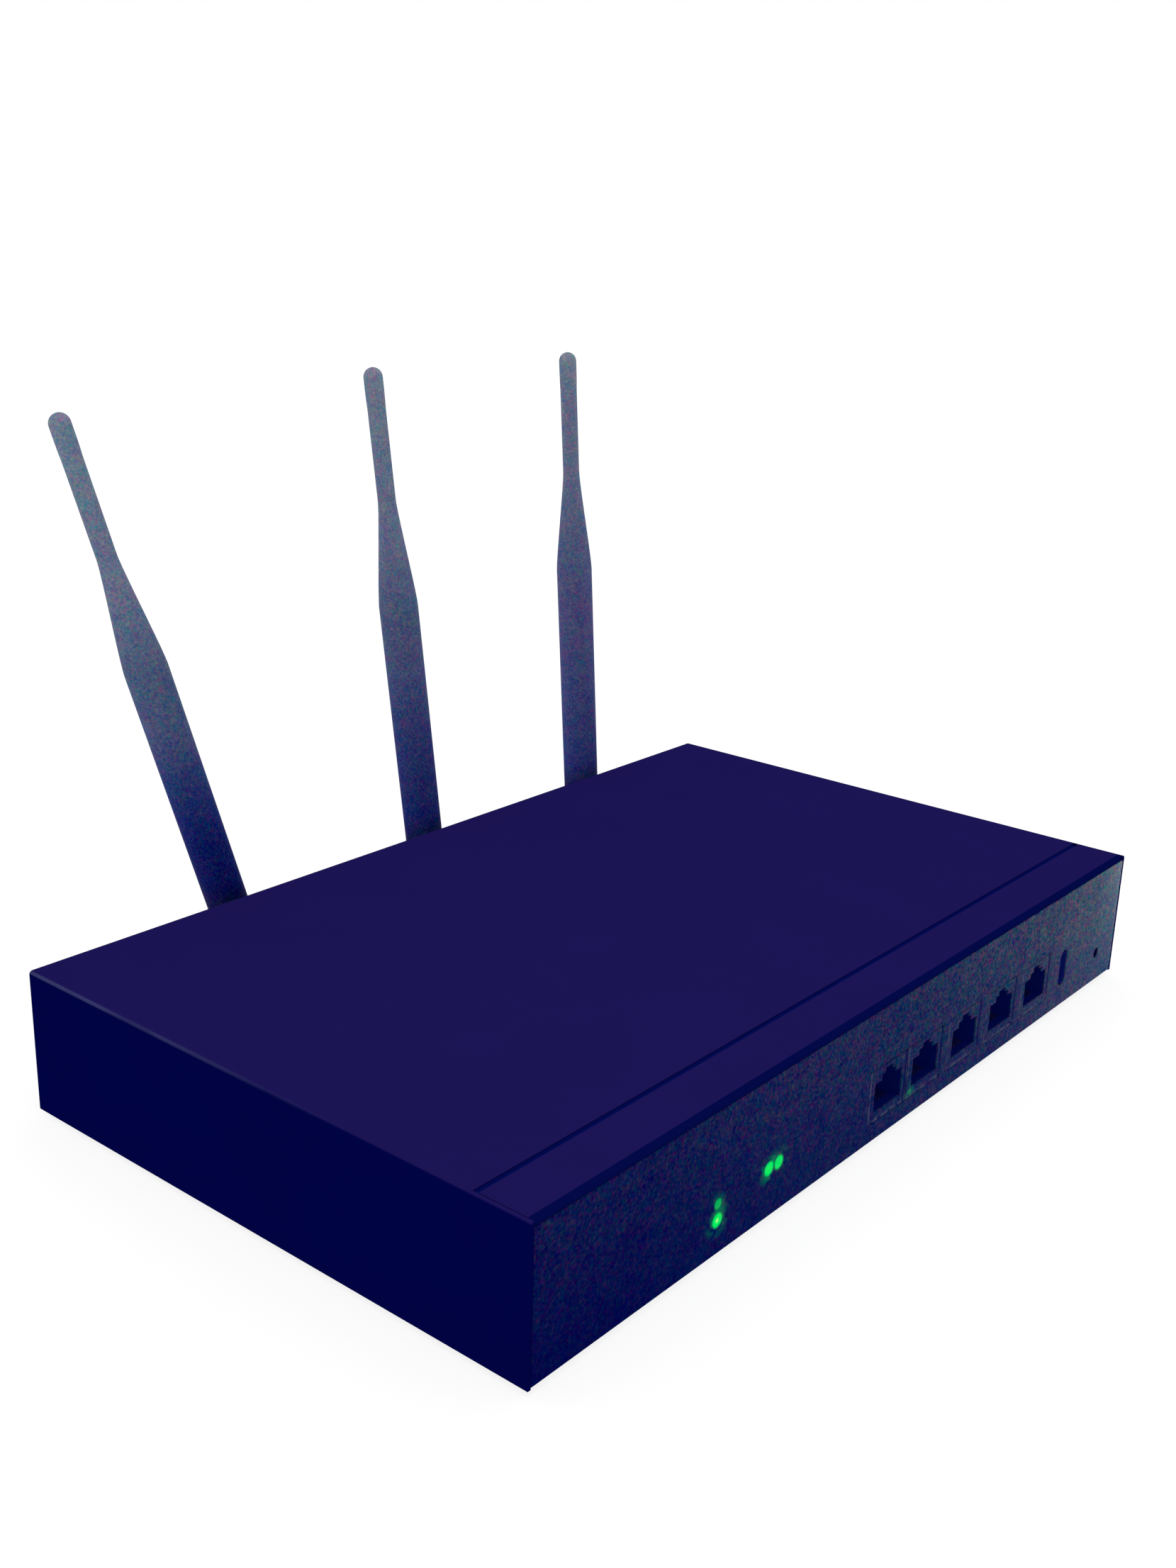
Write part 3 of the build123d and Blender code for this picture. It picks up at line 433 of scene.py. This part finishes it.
def pin_steel():
    return brushed_metal("pin_steel", (96, 102, 120), (160, 166, 182), 0.3, (300, 1400, 300)).material


def sink_aluminium():
    return brushed_metal("sink_aluminium", (118, 122, 132), (168, 172, 182), 0.42, (1500, 60, 60)).material


def connector_brass():
    return brushed_metal("connector_brass", (150, 112, 52), (206, 168, 96), 0.28, (500, 1500, 500)).material


def gold_contact():
    gold = brushed_metal("gold_contact", (58, 46, 58), (96, 78, 62), 0.3, (2200, 300, 300))
    # painted glow: the contacts glow faint navy, so their shade inside the jacks does not go black
    gold.glow(linear((2, 3, 34)))
    return gold.material


# where the painted highlights on the jacks' rolled edges fade, from the left and from below, and where the
# painted shadow in the fold is, from the right
left_edge = (0.3 * MM, 0.9 * MM)
lower_edge = (0.5 * MM, 1.2 * MM)
fold_start = (1.3 * MM, 1.0 * MM)
fold_end = (0.5 * MM, 0.2 * MM)
shell_margin = 0.05 * MM


def shell_edges(tin):
    """Shares of the painted highlights on the jacks' rolled edges, left and below, and of the painted shadow
    in the fold at their right.
    """
    bright, dark = 0.0, 0.0
    for number in range(1, jack_count + 1):
        low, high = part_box(f"jack_shield_{number}")
        inside = (tin.x > low.x - shell_margin) * (tin.x < high.x + shell_margin)
        left = tin.x.ramp(low.x + left_edge[0], low.x + left_edge[1], 1.0, 0.0)
        foot = tin.z.ramp(low.z + lower_edge[0], low.z + lower_edge[1], 1.0, 0.0)
        bright = bright + inside * left.highest(foot)
        past_start = tin.x.ramp(high.x - fold_start[0], high.x - fold_start[1])
        before_end = tin.x.ramp(high.x - fold_end[0], high.x - fold_end[1], 1.0, 0.0)
        dark = dark + past_start * before_end
    return bright.lowest(1.0), dark.lowest(1.0)


def tin_shell():
    """Tinned steel of the sockets, dulled to the tone of the front with its painted light; painted
    highlights on the rolled edges, a painted shadow in the right fold, a painted green spill beside the link
    light, and painted shade with a faint glow in the slot.
    """
    tin = Finish("tin_shell", (60, 66, 98), 0.5, gloss=0.0)
    bright, dark = shell_edges(tin)
    at_slot = tin.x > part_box("usb_shell")[0].x - 1 * MM
    patchy = tin.noise(700, detail=3).ramp(0.35, 0.6)
    # painted highlight on the left and lower rims, then painted shadow in the fold at the right
    colour = tin.mix(bright * patchy * 0.5, film_surface(tin), linear((78, 82, 106)))
    colour = tin.mix(dark * 0.8, colour, linear((4, 11, 70)))
    # painted light: the green spill of the link light on the shell beside it
    green = distance_to(tin, *link_light).ramp(link_halo_core, link_halo_reach, 0.55, 0.0)
    colour = tin.mix(green * patchy, colour, linear((16, 96, 84)))
    # painted shade in the slot: darker navy, with a faint glow so it does not go black
    tin.colour(tin.mix(at_slot, colour, linear((10, 17, 74))))
    tin.glow(tin.mix(at_slot, linear(black), linear((1, 5, 52))))
    tin.roughness(tin.noise(800).ramp(0.3, 0.7, 0.45, 0.6))
    tin.bump(tin.noise(1500, detail=2), 0.01 * MM, 0.4)
    return tin.material


def jack_plastic():
    """Moulded inserts, which glow faintly deep blue so their shade inside does not go black, and the power
    inlet at the back, which is charcoal.
    """
    plastic = Finish("jack_plastic", (3, 7, 56), 0.6, gloss=0.0)
    mottle = plastic.noise(600, detail=2)
    insert = plastic.mix(mottle, linear((1, 5, 50)), linear((4, 10, 62)))
    inlet = plastic.mix(mottle, linear((26, 29, 44)), linear((44, 48, 66)))
    at_back = plastic.y > 0.0  # the case's middle
    plastic.colour(plastic.mix(at_back, insert, inlet))
    plastic.bump(plastic.noise(2200), 0.01 * MM, 0.4)
    # painted glow in the inserts' shade; none on the inlet
    plastic.glow(plastic.mix(at_back, linear((0, 3, 44)), linear(black)))
    return plastic.material


def light_plastic():
    """Guide and light chips: the tone of the film, with its painted light, where unlit; bright green at the
    lit ones.
    """
    clear = Finish("light_plastic", (18, 27, 76), 0.3, gloss=0.0)
    clear.colour(film_surface(clear))
    link = distance_to(clear, *link_light).ramp(link_core, link_reach, 0.16, 0.0)
    spots = light_spots(clear, light_core, light_reach)
    clear.glow(light_colour(clear, (spots + link).lowest(1.0)))
    return clear.material


def button_plastic():
    plastic = Finish("button_plastic", (10, 16, 64), 0.5, 0.2)
    plastic.colour(plastic.mix(plastic.noise(700), linear((8, 13, 58)), linear((18, 24, 76))))
    plastic.bump(plastic.noise(2500), 0.01 * MM, 0.4)
    # painted glow: the button glows faint navy, so its recess does not go black
    plastic.glow(linear((0, 4, 50)))
    return plastic.material


def switch_plastic():
    """Dark moulded switch with the usual on and off marks painted on the rocker."""
    plastic = Finish("switch_plastic", (8, 10, 34), 0.42, 0.35)
    rocker = middle("power_rocker")
    across, up = plastic.x - rocker.x, plastic.z - rocker.z
    from_bar = up - mark_offset
    bar = (across.abs() < bar_width / 2) * (from_bar.abs() < bar_length / 2)
    from_ring = up + mark_offset
    to_ring = (across * across + from_ring * from_ring) ** 0.5 - ring_radius
    ring = to_ring.abs() < ring_line / 2
    marks = (bar + ring) * (plastic.facing_y > 0.5)
    body = plastic.mix(plastic.noise(420, detail=3), linear((7, 8, 30)), linear((15, 17, 44)))
    plastic.colour(plastic.mix(marks.lowest(1.0), body, linear((176, 180, 196))))
    plastic.bump(plastic.noise(2400), 0.02 * MM, 0.5)
    return plastic.material


def board_laminate():
    """Green solder mask with copper tracks under it, bare cut edges."""
    board = Finish("board_laminate", (18, 74, 48), 0.4, 0.4)
    pattern = {"offset": 0.37, "squash": 1.6, "squash_frequency": 3}
    spacing = {"Vector": board.place, "Scale": 210.0, "Mortar Size": 0.09, "Mortar Smooth": 0.1}
    tracks = board.node("TexBrick", pattern, spacing, "Fac")
    mottle = board.noise(90, detail=3)
    mask = board.mix(mottle, linear((10, 56, 38)), linear((20, 84, 54)))
    coppered = board.mix(tracks * 0.55, mask, linear((58, 122, 66)))
    edge = board.facing_z.abs() < 0.5
    board.colour(board.mix(edge, coppered, linear((148, 140, 96))))
    board.bump(tracks, 0.03 * MM, 0.5)
    return board.material


def chip_resin():
    resin = Finish("chip_resin", (22, 23, 28), 0.6, 0.3)
    resin.colour(resin.mix(resin.noise(1500, detail=3), linear((16, 17, 22)), linear((36, 37, 44))))
    resin.bump(resin.noise(3000, detail=2), 0.02 * MM, 0.5)
    return resin.material


def pad_silicone():
    pad = Finish("pad_silicone", (150, 128, 150), 0.75, 0.3)
    pad.colour(pad.mix(pad.noise(500, detail=3), linear((138, 116, 140)), linear((166, 146, 166))))
    return pad.material


def capacitor_can():
    """Sleeved cans with a bare aluminium top."""
    can = Finish("capacitor_can", (24, 26, 40), 0.4, 0.4)
    bare = can.facing_z.ramp(0.7, 0.8)
    sleeve = can.mix(can.noise(300), linear((18, 20, 34)), linear((34, 38, 58)))
    can.colour(can.mix(bare, sleeve, linear((164, 168, 176))))
    can.feed(can.shader.inputs["Metallic"], bare)
    return can.material


def lead_jacket():
    jacket = Finish("lead_jacket", (26, 27, 32), 0.5, 0.4)
    jacket.colour(jacket.mix(jacket.noise(700), linear((20, 21, 26)), linear((42, 43, 50))))
    return jacket.material


# colours up the left and the right antenna, with painted light and shade, darker at the foot and paler to
# the tip, by height above the floor in millimetres
near_antenna = [
    (24, (14, 16, 56)),
    (33, (5, 16, 92)),
    (45, (14, 28, 99)),
    (54, (26, 41, 107)),
    (64, (46, 61, 114)),
    (76, (72, 83, 123)),
    (92, (76, 91, 122)),
    (112, (102, 110, 137)),
    (140, (103, 118, 139)),
    (156, (112, 122, 140)),
]
far_antenna = [
    (24, (18, 21, 64)),
    (33, (38, 48, 113)),
    (44, (54, 62, 118)),
    (64, (68, 74, 122)),
    (84, (76, 79, 123)),
    (104, (80, 90, 125)),
    (120, (96, 104, 131)),
    (144, (105, 109, 136)),
    (156, (113, 123, 141)),
]


near_antenna_x = -50 * MM
far_antenna_x = 90 * MM


def antenna_plastic():
    """Moulded antennas with a satin grain: painted shade makes them dark at the foot, painted light paler to
    the tip.
    """
    plastic = Finish("antenna_plastic", (70, 80, 112), 0.62, gloss=0.02)
    start, end = near_antenna[0][0], near_antenna[-1][0]
    reach = end - start
    share = (plastic.z / MM - start) / reach
    near = plastic.gradient(share, [((height - start) / reach, shade) for height, shade in near_antenna])
    far = plastic.gradient(share, [((height - start) / reach, shade) for height, shade in far_antenna])
    # the left and the right antenna each get their own painted light
    colour = plastic.mix(plastic.x.ramp(near_antenna_x, far_antenna_x), near, far)
    plastic.colour(speckled(plastic, colour, antenna_grain))
    plastic.bump(plastic.noise(2400, detail=1.5), 0.015 * MM, 0.3)
    return plastic.material


# ---------------------------------------------------------------- finishes on the parts
finishes = [cover_paint, tray_paint, front_film, foot_rubber, screw_steel, board_laminate, tin_shell,
            jack_plastic, gold_contact, light_plastic, button_plastic, chip_resin, sink_aluminium,
            pad_silicone, capacitor_can, lead_jacket, connector_brass, antenna_plastic, pin_steel,
            switch_plastic]
materials = {finish.__name__: finish() for finish in finishes}


def give_finish(part, slot_name):
    """Gives a part's object the finish of its slot."""
    if not part.material_slots:
        part.data.materials.append(None)
    for entry in part.material_slots:
        entry.material = materials[slot_name]


for entry in frame["record"]["subparts"]:
    give_finish(frame["nodes"][entry["node"]], entry["material_slot"])


# ---------------------------------------------------------------- floor, light and camera
floor_reach = 6.0


def floor():
    """Pale floor that the case stands on, bright enough to run into the surroundings."""
    mesh = bpy.data.meshes.new("floor")
    shape = bmesh.new()
    bmesh.ops.create_grid(shape, x_segments=1, y_segments=1, size=floor_reach)
    shape.to_mesh(mesh)
    shape.free()
    piece = bpy.data.objects.new("floor", mesh)
    bpy.context.scene.collection.objects.link(piece)
    paper = Finish("floor_paper", (120, 120, 120), 0.9, 0.0)
    paper.glow([1.0, 1.0, 1.0], 0.84)
    mesh.materials.append(paper.material)


def soft_light(name, place, aim, size, power):
    """Square soft light at a place, turned towards a point."""
    lamp = bpy.data.lights.new(name, "AREA")
    lamp.size = size
    lamp.energy = power
    holder = bpy.data.objects.new(name, lamp)
    holder.location = place
    holder.rotation_euler = (Vector(aim) - Vector(place)).to_track_quat("-Z", "Y").to_euler()
    bpy.context.scene.collection.objects.link(holder)


def white_surroundings():
    world = bpy.data.worlds.new("studio")
    world.use_nodes = True
    backdrop = world.node_tree.nodes["Background"]
    backdrop.inputs["Color"].default_value = (1.0, 1.0, 1.0, 1.0)
    backdrop.inputs["Strength"].default_value = 1.0
    bpy.context.scene.world = world
    bpy.context.scene.view_settings.view_transform = "Standard"


camera_place = Vector((-306.70, -235.42, 193.75)) * MM
camera_right = Vector((0.64023, -0.76767, 0.02799))
camera_up = Vector((0.22420, 0.22158, 0.94902))
camera_lens = 39.388
camera_sensor = 36.0


def camera():
    """Camera to the front left of the router, a little above it."""
    optics = bpy.data.cameras.new("camera")
    optics.sensor_fit = "VERTICAL"
    optics.sensor_height = camera_sensor
    optics.lens = camera_lens
    optics.clip_start = 0.01
    holder = bpy.data.objects.new("camera", optics)
    back = camera_right.cross(camera_up)
    turn = Matrix((camera_right, camera_up, back)).transposed().to_4x4()
    holder.matrix_world = Matrix.Translation(camera_place) @ turn
    bpy.context.scene.collection.objects.link(holder)
    bpy.context.scene.camera = holder


white_surroundings()
floor()
soft_light("overhead_softbox", (-0.1, -0.1, 1.2), (0, 0, 0), 1.0, 1.5)
camera()
